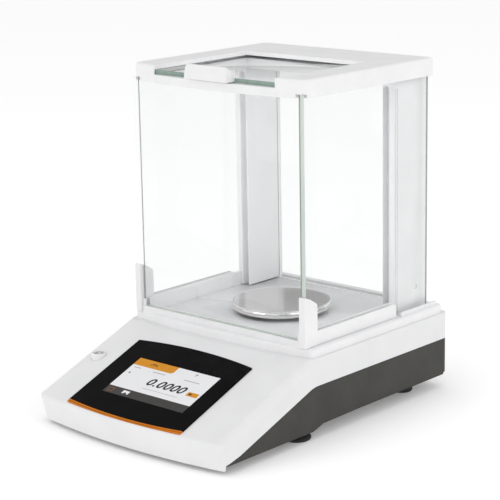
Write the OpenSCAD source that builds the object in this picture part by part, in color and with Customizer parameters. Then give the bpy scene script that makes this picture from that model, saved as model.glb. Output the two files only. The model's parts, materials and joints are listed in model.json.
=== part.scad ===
// Analytical balance with a glass draft shield, a sloping touch display and
// an electromagnetic weigh cell. +Z is up, the display faces -Y, and the
// origin is the middle of the footprint at table level.

/* [Housing] */
// Overall width of the housing
housing_w = 216; // [180:1:260]
// Overall depth of the housing
housing_d = 320; // [300:1:384]
// Height of the deck that carries the draft shield
deck_h = 71.3; // [66:0.1:86]
// Angle of the sloping front panel
slope = 20.8; // [18:0.1:23]
// Wall of the moulded shells
wall = 2.5; // [2:0.1:3.2]
// How far the front bows out between its corners
front_bow = 9.5; // [4:0.5:12]
// Width of the dark joint between the white shell and the tray
seam = 0.35; // [0.2:0.05:0.6]

/* [Display] */
// Width of the black cover glass
display_w = 134; // [110:1:150]
// Length of the cover glass at its corners, along the slope
display_l = 91.6; // [80:0.5:95]
// Width of the lit screen
screen_w = 95; // [80:1:100]
// Length of the lit screen
screen_l = 51; // [40:1:60]
// Width of the accent strip below the cover glass
strip_w = 3.3; // [1.5:0.1:4]

/* [Draft shield] */
// Overall height to the top of the roof frame
roof_top = 306; // [250:1:370]
// Height of the roof frame
roof_h = 15.7; // [14:0.1:20]
// Width of the roof opening
opening_w = 140; // [110:1:150]
// Length of the roof opening
opening_l = 112; // [90:1:115]
// Thickness of every glass pane
glass_t = 4; // [3:0.1:5]
// Width of a rear column, side to side
column_w = 13.7; // [10:0.1:16]
// Depth of a rear column, front to back
column_d = 48.5; // [35:0.5:50]
// Height of the base frame's plinth
plinth_h = 7.7; // [7:0.1:10]
// Height of the door handles above the plinth
handle_h = 45; // [36:1:56]

/* [Weighing] */
// Diameter of the weighing pan
pan_d = 90; // [75:1:110]
// Height of the pan's rim
pan_rim = 6.6; // [5:0.1:8]
// Diameter of the load receptor's pin
pin_d = 9; // [7:0.1:11]

/* [Feet] */
// Diameter of the front foot's disc
foot_d = 24.9; // [20:0.1:26]
// Diameter of the levelling screw
stud_d = 6; // [5:0.1:8]

/* [Hidden] */

// General values
fit = 0.05;             // radial clearance of a turning or sliding pin
gap = 0.3;              // clearance between pieces that move past each other
through = 1000;
$fn = 64;

// Housing
half_w = housing_w / 2;
front_y = -housing_d / 2;
rear_y = housing_d / 2;
ridge_r = 2.6;          // edge between the slope and the front face
side_r = 5;             // edge between the slope and a side
rear_r = 7;             // upright rear corners
front_foot_z = 4;       // lower edge of the front face
lean = 15;              // how far the front face leans back, degrees
deck_front = rear_y - 207;
slope_mid = deck_front - 61.6;
slope_mid_z = deck_h - (deck_front - slope_mid) * tan(slope);
ridge_z = deck_h - (deck_front - front_y - ridge_r * (1 - sin(slope))) * tan(slope)
    - ridge_r * cos(slope);

// Base tray
tray_z = 12;            // underside of the tray behind the front feet
tray_front_z = 8;       // underside of the tray at the front
tray_top = deck_h - 24.6;
tray_floor = tray_z + wall;
wedge_bend = deck_front + 14;
wedge_tip = front_y + 17;

// Draft shield
shield_hw = half_w - 2.1;
shield_rear = rear_y - 3.5;
shield_front = deck_front + 7;
plinth_z = deck_h + plinth_h;
floor_t = 2;
floor_z = plinth_z - 1;
rail_z = plinth_z + 12;
lip_z = plinth_z + 5.5;
roof_hw = half_w - 7.85;
roof_rear = shield_rear - 9.1;
roof_z = roof_top - roof_h;
glass_out = roof_hw - 1.55;
glass_in = glass_out - glass_t;
column_out = glass_in - 0.9;
column_in = column_out - column_w;
column_rear = roof_rear - 2.4;
column_front = column_rear - column_d;
channel_r = 3.6;        // half the width of the channel in a column
channel_d = 7;
pane_front = shield_front + 8.5;
rail_wall = 3;
slot = 0.2;             // clearance round a pane in its groove
groove = 3.6;           // depth of the grooves in the roof frame
rear_pane = column_rear - glass_t - 0.5;
side_pane_end = column_rear - 6;
runner_end = column_front - 5;
runner_in = glass_in - 0.6;
runner_out = glass_out + 1.2;
door_z = plinth_z + 1.8;  // lower edge of a side pane
handle_d = 17;          // depth of a side handle, front to back
top_pane_z = roof_top - 4 - glass_t;
top_pane_hw = opening_w / 2 + 8;
opening_front = pane_front + glass_t + 3;
top_pane_front = pane_front - 1.2;
opening_rear = opening_front + opening_l;

// Weighing
pan_y = (pane_front + column_front) / 2 + 18.5;
pan_top = plinth_z + 9.1;
pin_top = pan_top - 3;
hub_r = pin_d / 2 + 3.5;
port_r = hub_r + 1.5;   // hole for the hub through floor, frame and deck

// Weigh cell, measured back from the pin
cell_z = tray_floor;
cell_base_t = 5.5;
tower_y = pan_y + 41;
tower_d = 14;
lever_z = cell_z + 23.5;
lever_h = 8;
pivot_y = pan_y + 19;
pivot_z = lever_z + lever_h - 2.5;
guide_t = 1.6;
bead_r = 1;             // rolled bead that a guide turns on
guide_pivot_y = tower_y - bead_r - 0.4;
coil_y = tower_y + tower_d + 23;
pot_r = 21;
pot_h = 16;
block_top = cell_z + 45.5;

// Feet and fastenings
foot_x = half_w - foot_d / 2 - 2.6;
foot_y = deck_front + 8;
disc_h = 4;
drum_r = foot_d / 2 - 2.4;
drum_top = 10.4;
foot_well = foot_d / 2 + 0.6;
foot_well_z = 14;
screw_r = 1.5;
case_points = [[half_w - 24, front_y + 40], [half_w - 16, rear_y - 22]];
cover_pivot_x = 21;

// Underside of the tray at y
function tray_under(y) = y < foot_y ? tray_front_z : tray_z;

// ---- outlines ------------------------------------------------------------

// Sagitta of an arc of half-chord hw that bows out by b, at x
function bow_at(x, hw, b) =
    let (R = (hw * hw + b * b) / (2 * b)) R - sqrt(R * R - x * x);

// Plan outline with a bowed front. The front corners are quarter ellipses of
// rx by ry and the rear corners are round, of radius rr.
function bow_outline(hw, front, b, rear, rx, ry, rr, n = 16, m = 5) = concat(
    [for (i = [0:n]) let (x = (hw - rx) * (2 * i / n - 1))
        [x, front + bow_at(x, hw, b)]],
    [for (i = [1:m]) let (t = 90 * i / m, x = hw - rx + rx * sin(t))
        [x, front + bow_at(x, hw, b) + ry * (1 - cos(t))]],
    [for (i = [0:m]) let (t = 90 * i / m)
        [hw - rr + rr * cos(t), rear - rr + rr * sin(t)]],
    [for (i = [0:m]) let (t = 90 * i / m)
        [-hw + rr - rr * sin(t), rear - rr + rr * cos(t)]],
    [for (i = [m:-1:1]) let (t = 90 * i / m, x = hw - rx + rx * sin(t))
        [-x, front + bow_at(x, hw, b) + ry * (1 - cos(t))]]
);

// Closed solid through a pile of outlines that have the same point count
module pile(outlines, heights) {
    n = len(outlines[0]);
    k = len(outlines);
    polyhedron(
        points = [for (j = [0:k - 1]) for (p = outlines[j]) [p[0], p[1], heights[j]]],
        faces = concat(
            [[for (i = [0:n - 1]) i]],
            [[for (i = [n - 1:-1:0]) (k - 1) * n + i]],
            [for (j = [0:k - 2]) for (i = [0:n - 1])
                [j * n + i, (j + 1) * n + i, j * n + (i + 1) % n]],
            [for (j = [0:k - 2]) for (i = [0:n - 1])
                [(j + 1) * n + i, (j + 1) * n + (i + 1) % n, j * n + (i + 1) % n]]
        )
    );
}

// Points of a polygon with every corner [x, y, r] rounded to its radius
function rounded(c, m = 6) = [
    for (i = [0:len(c) - 1])
        let (
            p = [c[i][0], c[i][1]], r = c[i][2],
            a = c[(i + len(c) - 1) % len(c)], b = c[(i + 1) % len(c)],
            u = [a[0] - p[0], a[1] - p[1]] / norm([a[0] - p[0], a[1] - p[1]]),
            v = [b[0] - p[0], b[1] - p[1]] / norm([b[0] - p[0], b[1] - p[1]]),
            half = acos(u * v) / 2,
            s = r / tan(half),
            centre = p + (u + v) / norm(u + v) * r / sin(half),
            start = p + u * s - centre, end = p + v * s - centre,
            turn = (start[0] * end[1] - start[1] * end[0] > 0 ? 1 : -1) * (180 - 2 * half)
        )
        for (k = (r > 0 ? [0:m] : [0:0]))
            r > 0
                ? centre + [start[0] * cos(turn * k / m) - start[1] * sin(turn * k / m),
                            start[0] * sin(turn * k / m) + start[1] * cos(turn * k / m)]
                : p
];

// Prism of a [y, z] outline from x0 to x1
module side_prism(points, x0, x1) {
    translate([x0, 0, 0]) rotate([90, 0, 90]) linear_extrude(x1 - x0) polygon(points);
}

// Box from its lowest to its highest corner
module span(low, high) {
    translate(low) cube(high - low);
}

module at_side(s) {
    mirror([s < 0 ? 1 : 0, 0, 0]) children();
}

module both_sides() {
    children();
    mirror([1, 0, 0]) children();
}

// Frame whose XY plane is the sloping panel, at the middle of the display
module on_slope() {
    translate([0, slope_mid, slope_mid_z]) rotate([slope, 0, 0]) children();
}

// ---- housing -------------------------------------------------------------

// Outer form of the housing, or the form set in by a wall thickness
module housing_form(inset = 0, low = front_foot_z, high = deck_h) {
    r = max(ridge_r - inset, 0.05);
    steps = 5;
    angles = [for (i = [0:steps]) -lean + (90 - slope + lean) * i / steps];
    arc_y = [for (a = angles) front_y + ridge_r - r * cos(a)];
    arc_z = [for (a = angles) ridge_z + r * sin(a)];
    ys = concat([arc_y[0] + (arc_z[0] - low) * tan(lean)], arc_y,
        [arc_y[steps] + (high - arc_z[steps]) / tan(slope)]);
    zs = concat([low], arc_z, [high]);
    tilt = concat([-lean], angles, [90 - slope]);
    rx = max(side_r - inset, 1);
    pile(
        [for (j = [0:len(ys) - 1])
            bow_outline(half_w - inset, ys[j], front_bow, rear_y - inset,
                rx, rx / cos(tilt[j]), rear_r - inset)],
        zs
    );
}

// Side view of the dark tray: a wedge that runs out towards the front corner
function wedge() = rounded([
    [rear_y + 10, tray_z + 2.5, 0],
    [rear_y + 10, tray_top, 0],
    [wedge_bend, tray_top, 30],
    [wedge_tip + 16, tray_front_z + 4.6, 14],
    [wedge_tip, tray_front_z + 0.9, 0],
    [wedge_tip + 1, tray_front_z, 0],
    [foot_y + 4, tray_front_z, 2],
    [foot_y + 18, tray_z, 2],
    [rear_y - 22, tray_z + 2.2, 0]
]);

// Side view of everything below the wedge's upper edge
function below_wedge() = rounded([
    [rear_y + 10, -10, 0],
    [rear_y + 10, tray_top + seam, 0],
    [wedge_bend, tray_top + seam, 30],
    [wedge_tip + 16, tray_front_z + 4.6 + seam, 14],
    [wedge_tip - seam, tray_front_z + 0.9, 0],
    [wedge_tip - seam, -10, 0]
]);

// Cover glass outline, grown by g and with w added along the front edge
function display_outline(g = 0, w = 0) =
    let (hw = display_w / 2 + g, l = display_l / 2 + g, n = 16)
    concat(
        [for (i = [0:n]) let (x = hw * (2 * i / n - 1))
            [x, -l - 4.3 - w + bow_at(x, hw, 4.3)]],
        [for (i = [0:n]) let (x = hw * (1 - 2 * i / n))
            [x, l + 5 - bow_at(x, hw, 5)]]
    );

// The level sits flat in the slope: its rear edge sinks in, its front edge stands proud
level_up = 15.2;        // from the middle of the display, towards the rear
level_proud = 1;
level_r = 6.6;
level_gap = 0.3;
level_x = -half_w + 17;
level_y = slope_mid + level_up;
level_z = slope_mid_z + level_up * tan(slope) + level_proud;

module upper_housing() {
    color("#f1f1f1") {
        difference() {
            housing_form();
            housing_form(wall, -5, deck_h - wall);
            side_prism(below_wedge(), -through, through);
            on_slope() {
                // pocket of the cover glass and its strip
                translate([0, 0, -2]) linear_extrude(20) polygon(display_outline(0.2, strip_w));
                // window for the display module
                linear_extrude(40, center = true)
                    square([screen_w + 12, screen_l + 16], center = true);
            }
            translate([level_x, level_y, level_z - 10]) cylinder(r = level_r + level_gap, h = 40);
            translate([0, pan_y, deck_h - 10]) cylinder(r = port_r, h = 20);
            shield_screw_places() cylinder(r = screw_r + fit, h = 20, center = true);
            column_screw_places() cylinder(r = screw_r + fit, h = 20, center = true);
        }
        // screw bosses that reach down to the tray
        both_sides() for (p = case_points) difference() {
            intersection() {
                translate([p[0], p[1], tray_under(p[1]) + wall + 0.1]) cylinder(r = 4, h = deck_h);
                housing_form(wall / 2, -5, deck_h - wall / 2);
            }
            translate([p[0], p[1], 0]) cylinder(r = screw_r + fit, h = tray_under(p[1]) + 14);
        }
    }
}

module base_tray() {
    color("#4e4d49") difference() {
        union() {
            // side and rear walls, flush with the white shell
            intersection() {
                difference() {
                    housing_form(0, 5, deck_h);
                    housing_form(wall, 0, deck_h);
                }
                side_prism(wedge(), -through, through);
            }
            // floor, a step lower at the front
            intersection() {
                housing_form(wall / 2, 5, deck_h);
                side_prism(rounded([
                    [rear_y + 10, tray_z, 0], [rear_y + 10, tray_floor, 0],
                    [foot_y + 17, tray_floor, 3], [foot_y + 3, tray_front_z + wall, 3],
                    [wedge_tip + 6, tray_front_z + wall, 0], [wedge_tip + 6, tray_front_z, 0],
                    [foot_y + 4, tray_front_z, 3], [foot_y + 18, tray_z, 3]
                ]), -through, through);
            }
            // the floor's front edge sits inside the white shell
            intersection() {
                housing_form(wall + gap, 5, deck_h);
                span([-half_w, front_y, tray_front_z],
                    [half_w, wedge_tip + 6.5, tray_front_z + wall]);
            }
            // wells and bushes of the levelling feet
            both_sides() translate([foot_x, foot_y, tray_front_z]) {
                intersection() {
                    cylinder(r = foot_well + 2, h = foot_well_z - tray_front_z + wall);
                    translate([-50, -50, 0]) cube([50 + half_w - foot_x - 1, 100, 50]);
                }
                cylinder(r = stud_d / 2 + 3, h = 20);
            }
            // pillars under the weigh cell's screws and the cover's pivot
            cell_screw_places() translate([0, 0, tray_z]) cylinder(r = 4, h = wall);
        }
        both_sides() translate([foot_x, foot_y, -1]) {
            cylinder(r = foot_well, h = foot_well_z + 1);
            cylinder(r = stud_d / 2 + fit, h = 100);
        }
        both_sides() for (p = case_points) translate([p[0], p[1], 0]) {
            cylinder(r = screw_r + 0.2, h = 60);
            cylinder(r = 3.2, h = tray_under(p[1]) + 1.2);
        }
        cell_screw_places() cylinder(r = screw_r + fit, h = 60, center = true);
        translate([0, pan_y, 0]) cylinder(r = 9, h = 40);
        translate([cover_pivot_x, pan_y, 0]) cylinder(r = screw_r + fit, h = 40);
        // openings of the rear sockets and the anchor slot
        jack_place() rotate([-90, 0, 0]) cylinder(r = 5.2, h = 20, center = true);
        usb_place() cube([12.6, 20, 11.6], center = true);
        translate([half_w - 30, rear_y, tray_z + 16]) cube([7, 20, 3], center = true);
    }
}

module accent_strip() {
    line = 0.45 * strip_w;  // the upper of its two lines
    color("#e8962b") on_slope() translate([0, 0, -1.9]) difference() {
        linear_extrude(2) difference() {
            polygon(display_outline(0, strip_w));
            polygon(display_outline(0, 0.1));
            translate([-through / 2, -display_l / 2 + 2]) square(through);
        }
        // fine groove that parts the two lines
        translate([0, 0, 1.5]) linear_extrude(2) difference() {
            polygon(display_outline(0, line + 0.7));
            polygon(display_outline(0, line));
        }
    }
}

module display_glass() {
    color("#1c1a19") on_slope() translate([0, 0, -1.9]) linear_extrude(2.1)
        polygon(display_outline());
}

module display_module() {
    color("#b9bcc0") on_slope() translate([0, 0, -6]) linear_extrude(4.1)
        square([screen_w + 10, screen_l + 12], center = true);
}

module display_board() {
    color("#2f6b3f") on_slope() translate([0, 0, -8.2]) linear_extrude(1.6) difference() {
        square([screen_w + 10, screen_l + 12], center = true);
        for (x = [-1, 1], y = [-1, 1])
            translate([x * (screen_w / 2 + 1), y * (screen_l / 2 + 2)]) circle(r = 1.6);
    }
}

module level_bezel() {
    color("#f4f4f4") translate([level_x, level_y, level_z - 8]) difference() {
        cylinder(r = level_r, h = 8);
        translate([0, 0, 2]) cylinder(r = level_r - 1.2, h = 10);
    }
}

module level_vial() {
    color("#d8e6a0") translate([level_x, level_y, level_z - 6])
        cylinder(r = level_r - 1.25, h = 5.4);
}

// ---- draft shield --------------------------------------------------------

// Places of the screws that come up through the deck into the frame
module shield_screw_places() {
    both_sides() translate([half_w - 50, pane_front + 18, deck_h]) children();
}

// Places of the longer screws that reach on into the columns
module column_screw_places() {
    both_sides() for (y = [column_front + 14, column_rear - 14])
        translate([column_in + column_w / 2 - 1, y, deck_h]) children();
}

function shield_outline(inset) = bow_outline(shield_hw - inset, shield_front + inset,
    8, shield_rear - inset, 4, 4, 8 - inset);

module base_frame() {
    color("#f4f4f4") difference() {
        union() {
            pile([for (a = [0, 0, 30, 60, 90]) shield_outline(2 * (1 - cos(a)))],
                [for (h = [0, plinth_h - 2, plinth_h - 1, plinth_h - 0.3, plinth_h]) deck_h + h]);
            // front lip that holds the front pane
            side_prism(rounded([
                [pane_front - 2.4, plinth_z - 1, 0], [pane_front - 2.4, lip_z, 1],
                [pane_front + glass_t + 3, lip_z, 1], [pane_front + glass_t + 4.5, plinth_z - 1, 0]
            ]), -column_out, column_out);
            both_sides() {
                // inner wall of the door rail, with two clip ribs
                span([column_out - rail_wall, pane_front - 2, plinth_z - 1],
                    [column_out, column_front - gap, rail_z]);
                for (y = [pan_y - 17, pan_y + 33])
                    span([column_out - rail_wall - 1.2, y, floor_z],
                        [column_out - rail_wall + 1, y + 2.4, rail_z - 3]);
                // low outer wall of the door rail
                span([runner_out + 0.4, column_front, plinth_z - 1],
                    [runner_out + 2.2, shield_rear - 7, plinth_z + 3.6]);
            }
            // low ledge behind the rear pane
            span([-column_in + gap, rear_pane + glass_t + slot, plinth_z - 1],
                [column_in - gap, shield_rear - 6, plinth_z + 1]);
        }
        // seat of the floor plate
        span([-column_out + rail_wall, pane_front + glass_t + 4.4, floor_z - floor_t],
            [column_out - rail_wall, rear_pane - 1, plinth_z + 0.5]);
        // slot of the front pane
        span([-column_out - slot, pane_front - slot, plinth_z - 1],
            [column_out + slot, pane_front + glass_t + slot, rail_z + 1]);
        // slot of the rear pane
        span([-column_in - 4.4, rear_pane - slot, plinth_z - 1],
            [column_in + 4.4, rear_pane + glass_t + slot, plinth_z + 10]);
        // shallow run of the door rails
        both_sides() span([runner_in - slot, pane_front - 4, plinth_z],
            [runner_out + 0.4, shield_rear + 10, plinth_z + 20]);
        translate([0, pan_y, deck_h - 1]) cylinder(r = port_r, h = 20);
        shield_screw_places() cylinder(r = screw_r + fit, h = 40, center = true);
        column_screw_places() cylinder(r = screw_r + fit, h = 40, center = true);
    }
}

module chamber_floor() {
    color("#d2d3d6") difference() {
        union() {
            span([-column_out + rail_wall + slot, pane_front + glass_t + 4.6, floor_z - floor_t],
                [column_out - rail_wall - slot, rear_pane - 1.2, floor_z]);
            translate([0, pan_y, floor_z - 1]) cylinder(r = port_r + 2, h = 3);
        }
        translate([0, pan_y, 0]) cylinder(r = port_r, h = 200);
        // the columns stand on the frame, beside the plate
        both_sides() span([column_in - slot, column_front - slot, 0], [half_w, rear_y, 200]);
        both_sides() for (y = [pan_y - 17, pan_y + 33])
            span([column_out - rail_wall - 1.4, y - slot, 0], [half_w, y + 2.6, 200]);
    }
}

module front_glass() {
    color("#dfeee6", 0.35) span([-column_out + 0.4, pane_front, plinth_z - 1],
        [column_out - 0.4, pane_front + glass_t, roof_z + groove - 0.2]);
}

module rear_glass() {
    color("#dfeee6", 0.35) span([-column_in - 4.2, rear_pane, plinth_z - 1],
        [column_in + 4.2, rear_pane + glass_t, roof_z + groove - 0.2]);
}

module column(s) {
    at_side(s) color("#ececee") difference() {
        union() {
            translate([0, 0, plinth_z]) linear_extrude(roof_z - plinth_z) polygon(rounded([
                [column_in, column_front, 1.6], [column_out, column_front, 0.8],
                [column_out, column_rear, 0.8], [column_in, column_rear, 1.6]
            ]));
            // tenon that locks into the roof frame
            span([column_in + 3, column_front + 10, roof_z - 1],
                [column_out - 3, column_front + 26, roof_z + 8]);
        }
        // channel down the front face, round at its top
        translate([column_in + channel_r + 0.8, column_front, 0]) {
            translate([0, 0, roof_z - 9]) rotate([90, 0, 0])
                cylinder(r = channel_r, h = 2 * channel_d, center = true);
            span([-channel_r, -channel_d, 0], [channel_r, channel_d, roof_z - 9]);
        }
        // two fine grooves beside the door pane
        for (y = [1.5, 4]) span([column_out - 0.7, column_front + y, 0],
            [column_out + 1, column_front + y + 0.9, roof_z - 8]);
        // edge of the rear pane
        span([0, rear_pane - slot, 0], [column_in + 4.4, rear_pane + glass_t + slot, roof_z + 20]);
        // screw access
        translate([column_out, column_rear - 16, plinth_z + 20]) rotate([0, 90, 0])
            cylinder(r = 2.4, h = 3, center = true);
        column_screw_places() cylinder(r = screw_r + fit, h = 48, center = true);
    }
}

module left_column() column(-1);
module right_column() column(1);

function roof_outline(inset) = bow_outline(roof_hw - inset, shield_front + 1 + inset,
    9, roof_rear - inset, 6, 6, 5);

module roof_frame() {
    color("#efefef") difference() {
        pile([for (a = [0, 0, 30, 60, 90]) roof_outline(2 * (1 - cos(a)))],
            [for (h = [-roof_h, -2, -1, -0.27, 0]) roof_top + h]);
        // opening, and the lowered front rail in front of it
        span([-opening_w / 2, opening_front, 0], [opening_w / 2, opening_rear, 2 * roof_top]);
        span([-opening_w / 2, shield_front - 10, top_pane_z - slot],
            [opening_w / 2, opening_front + 1, 2 * roof_top]);
        // track of the top pane, open to the rear
        span([-top_pane_hw - slot, top_pane_front - 0.4, top_pane_z - slot],
            [top_pane_hw + slot, roof_rear + 20, top_pane_z + glass_t + slot]);
        // grooves of the front, side and rear panes
        span([-column_out - 0.2, pane_front - slot, 0],
            [column_out + 0.2, pane_front + glass_t + slot, roof_z + groove]);
        both_sides() span([glass_in - slot, pane_front - 1, 0],
            [glass_out + slot, roof_rear + 20, roof_z + groove]);
        span([-column_in - 4.4, rear_pane - slot, 0],
            [column_in + 4.4, rear_pane + glass_t + slot, roof_z + groove]);
        // sockets of the columns' tenons
        both_sides() span([column_in + 3 - slot, column_front + 10 - slot, 0],
            [column_out - 3 + slot, column_front + 26 + slot, roof_z + 8 + slot]);
    }
}

module side_door_glass(s) {
    at_side(s) color("#dfeee6", 0.35) span([glass_in, pane_front - 0.6, door_z],
        [glass_out, side_pane_end, roof_z + groove - 0.3]);
}

// Runner with the upright thumb grip at its front end
module side_door_runner(s) {
    front = pane_front - 4;
    top = plinth_z + handle_h;
    at_side(s) color("#f3f3f3") difference() {
        union() {
            side_prism(rounded([
                [front, plinth_z + gap, 1], [front, top, 1.5], [front + 7, top - 2.6, 14],
                [front + handle_d - 0.5, top - 8.5, 3], [front + handle_d, plinth_z + gap, 1]
            ]), runner_in, runner_out + 0.6);
            side_prism(rounded([
                [pane_front, plinth_z + gap, 0], [pane_front, rail_z + 0.6, 0],
                [runner_end, rail_z + 0.6, 3], [runner_end, plinth_z + gap, 0.5]
            ]), runner_in, runner_out);
        }
        // slot of the pane
        span([glass_in, pane_front - 0.6, door_z], [glass_out, side_pane_end, roof_top]);
    }
}

module left_door_glass() side_door_glass(-1);
module right_door_glass() side_door_glass(1);
module left_door_runner() side_door_runner(-1);
module right_door_runner() side_door_runner(1);

module top_door_glass() {
    color("#dfeee6", 0.35) span([-top_pane_hw, top_pane_front, top_pane_z],
        [top_pane_hw, opening_rear + 7, top_pane_z + glass_t]);
}

// Stepped grip that hooks over the pane's front edge and stands out past the roof
module top_door_handle() {
    top = top_pane_z + glass_t;
    low = top_pane_z + 1;
    front = pane_front - 13;
    crest = top + 9.6;
    grip_hw = 24;
    color("#f1f1f1") {
        intersection() {
            side_prism(rounded([
                [front, low, 0.5], [front + 0.5, top + 2, 4], [front + 3, crest, 1.3],
                [front + 5.8, crest, 1], [front + 5.8, top + 7.2, 0.4], [front + 7.8, top + 7.2, 0.8],
                [front + 7.8, top + 2, 0.6], [front + 14.5, top + 2, 0.8], [front + 14.5, top, 0],
                [top_pane_front, top, 0], [top_pane_front, low, 0]
            ]), -grip_hw, grip_hw);
            translate([0, front + 60, 0]) rotate([90, 0, 0]) linear_extrude(120) polygon(rounded([
                [-grip_hw, top - 30, 0], [grip_hw, top - 30, 0], [grip_hw, crest, 6], [-grip_hw, crest, 2]
            ]));
        }
        // foot of the grip, bonded to the pane
        span([-18, top_pane_front, top], [18, pane_front + 9, top + 1]);
    }
}

// ---- weighing ------------------------------------------------------------

module weighing_pan() {
    r = pan_d / 2;
    color("#b9b6b2") translate([0, pan_y, 0]) rotate_extrude() polygon(concat(
        [[0, pan_top], [r - 1.8, pan_top]],
        [for (i = [1:6]) let (t = 90 * i / 6)
            [r - 1.8 + 1.8 * sin(t), pan_top - 1.8 + 1.8 * cos(t)]],
        [[r, pan_top - pan_rim + 1], [r - 1, pan_top - pan_rim], [r - 1.8, pan_top - pan_rim],
         [r - 1.8, pan_top - 3], [r - 3, pan_top - 1.6], [0, pan_top - 1.6]]
    ));
}

// Spider that carries the pan on the receptor's pin
module pan_support() {
    top = pan_top - 1.6 - 0.1;
    color("#3c3d40") translate([0, pan_y, 0]) difference() {
        union() {
            translate([0, 0, floor_z - 3]) cylinder(r = hub_r, h = top - floor_z + 3);
            for (a = [0:90:270]) rotate([0, 0, a + 45])
                span([0, -3, top - 3.4], [pan_d / 2 - 8, 3, top]);
            translate([0, 0, top - 2]) difference() {
                cylinder(r = pan_d / 2 - 6, h = 2);
                cylinder(r = pan_d / 2 - 11, h = 6, center = true);
            }
        }
        cylinder(r = pin_d / 2 + fit, h = pin_top + gap);
    }
}

module load_receptor() {
    color("#c3c6ca") {
        translate([0, pan_y, block_top - 1]) cylinder(d = pin_d, h = pin_top - block_top + 1);
        difference() {
            span([-12, pan_y - 9, cell_z + 9.5], [12, pan_y + 9, block_top]);
            // window for the end of the lever
            span([-7, pan_y - 3, lever_z - 11], [7, pan_y + 20, lever_z + lever_h + 2]);
            // hanger thread for weighing below the balance
            translate([0, pan_y, 0]) cylinder(r = 2.1, h = cell_z + 17);
        }
    }
}

module coupling_strap() {
    color("#d9c27a") span([-3, pan_y + 4, lever_z - 11], [3, pan_y + 4.4, lever_z - gap]);
}

module cell_frame() {
    color("#aeb2b6") difference() {
        union() {
            span([-34, pan_y - 20, cell_z], [34, coil_y + 24, cell_z + cell_base_t]);
            span([-20, tower_y, cell_z], [20, tower_y + tower_d, block_top]);
            // arm over the lever that holds the pivot flexure
            span([-6, pivot_y - 3, lever_z + lever_h + 4],
                [6, tower_y + 1, lever_z + lever_h + 9]);
        }
        span([-7, tower_y - 1, lever_z - 5], [7, tower_y + tower_d + 1, lever_z + lever_h + 3]);
        translate([0, pan_y, 0]) cylinder(r = 8, h = 60);
        translate([cover_pivot_x, pan_y, 0]) cylinder(r = screw_r + fit, h = 60);
        cell_screw_places() cylinder(r = screw_r + fit, h = 80, center = true);
    }
}

module pivot_flexure() {
    color("#d9c27a") span([-4, pivot_y - 0.2, lever_z + lever_h + gap],
        [4, pivot_y + 0.2, lever_z + lever_h + 4]);
}

// Thin plate of the parallel guide, cut out to an A shape. Both plates turn on
// beads at the same distance from the pin, so the pin stays upright.
module guide_plate(y0, y1) {
    rear = guide_pivot_y - 6;
    difference() {
        span([-18, y0, 0], [18, y1, guide_t]);
        linear_extrude(10, center = true)
            polygon([[-11, rear], [11, rear], [5, y0 + 20], [-5, y0 + 20]]);
    }
    translate([0, guide_pivot_y, guide_t / 2]) rotate([0, 90, 0])
        cylinder(r = bead_r, h = 30, center = true);
}

module upper_guide() {
    color("#b7babd") translate([0, 0, block_top + 0.4]) difference() {
        guide_plate(pan_y - 8, tower_y + tower_d - 1);
        translate([0, pan_y, -1]) cylinder(r = pin_d / 2 + 1, h = 5);
    }
}

module lower_guide() {
    color("#b7babd") translate([0, 0, cell_z + 7.5]) difference() {
        guide_plate(pan_y - 8, tower_y - 0.4);
        translate([0, pan_y, -1]) cylinder(r = 5, h = 5);
    }
}

module lever_beam() {
    color("#bfc2c6") {
        span([-5, pan_y + 2, lever_z], [5, coil_y + 14.5, lever_z + lever_h]);
        // round bosses on the pivot's axis
        translate([0, pivot_y, pivot_z]) rotate([0, 90, 0]) cylinder(r = 2, h = 12, center = true);
        // vane that the position sensor watches
        span([-0.4, coil_y + 14, lever_z + 2], [0.4, coil_y + 19.5, lever_z + lever_h - 2]);
    }
}

module coil() {
    color("#b8733a") translate([0, coil_y, lever_z - 8]) difference() {
        cylinder(r = 13.5, h = 8);
        translate([0, 0, -1]) cylinder(r = 11, h = 7.4);
    }
}

module magnet_pot() {
    color("#8f9296") translate([0, coil_y, cell_z + cell_base_t]) difference() {
        cylinder(r = pot_r, h = pot_h);
        translate([0, 0, 3]) cylinder(r = 15, h = pot_h);
    }
}

module magnet_core() {
    color("#6f7276") translate([0, coil_y, cell_z + cell_base_t + 3])
        cylinder(r = 9.5, h = pot_h - 3.6);
}

module position_sensor() {
    z = cell_z + cell_base_t + pot_h;
    color("#2f6b3f") difference() {
        span([-6, coil_y + 15.6, z], [6, coil_y + 20.5, lever_z + lever_h + 5]);
        span([-1.6, coil_y + 15, lever_z - 0.5], [1.6, coil_y + 21, lever_z + lever_h + 6]);
        span([-9, coil_y + 10, z - 1], [9, coil_y + 15.8, 200]);
    }
}

// ---- electronics ---------------------------------------------------------

board_x0 = -half_w + 12;
board_x1 = -44;
board_y0 = foot_y + 24;
board_z = tray_floor + 8;
ribbon_w = 8;
ribbon_x = board_x1 - 0.3 - ribbon_w;

module main_board() {
    color("#2f6b3f") {
        span([board_x0, board_y0, board_z], [board_x1, rear_y - 34, board_z + 1.6]);
        // spacers
        for (x = [board_x0 + 5, board_x1 - 5], y = [board_y0 + 6, rear_y - 42])
            translate([x, y, tray_floor]) cylinder(r = 3, h = 8.5);
    }
}

module board_components() {
    z = board_z + 1.6;
    x = board_x0 + 10;
    color("#26272a") {
        span([x + 4, board_y0 + 46, z], [x + 24, board_y0 + 66, z + 2]);
        span([x + 6, board_y0 + 82, z], [x + 18, board_y0 + 90, z + 1.8]);
        span([x + 22, board_y0 + 20, z], [x + 30, board_y0 + 26, z + 1.8]);
        for (i = [0:3]) translate([x + 2 + 8 * i, board_y0 + 108, z]) cylinder(r = 3, h = 9);
        span([ribbon_x - 1, board_y0 + 1, z], [ribbon_x + ribbon_w + 0.2, board_y0 + 6, z + 4]);
    }
}

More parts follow.
